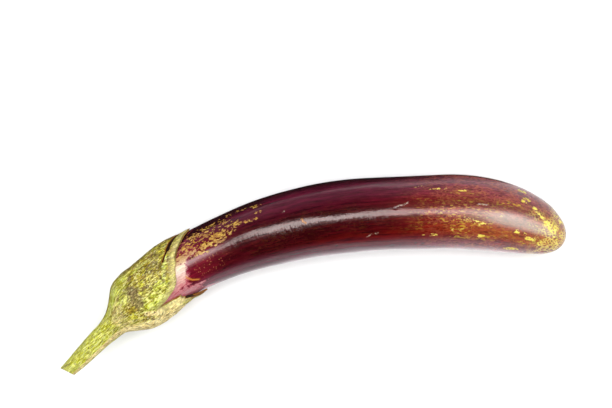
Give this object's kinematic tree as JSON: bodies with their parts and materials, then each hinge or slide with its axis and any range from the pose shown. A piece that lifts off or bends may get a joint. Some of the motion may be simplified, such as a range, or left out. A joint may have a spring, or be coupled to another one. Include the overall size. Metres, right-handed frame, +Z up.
{
  "type": "eggplant",
  "caption": "Whole long purple eggplant with its lobed green calyx and a short cut stem, gently curved, lying on its side.",
  "frame": {"origin": "centre of the bounding box in plan, on the surface that the eggplant lies on", "axes": "+X from the cut stem to the blossom end, +Y to the outward side of the bend, +Z up from the surface it lies on"},
  "size_m": [0.2921, 0.0715, 0.0412],
  "materials": {
    "skin": "gloss",
    "calyx_green": "matte",
    "stem_green": "matte"
  },
  "bodies": {
    "root": {"fruit": "skin", "calyx": "calyx_green", "stem": "stem_green"}
  },
  "joints": []
}
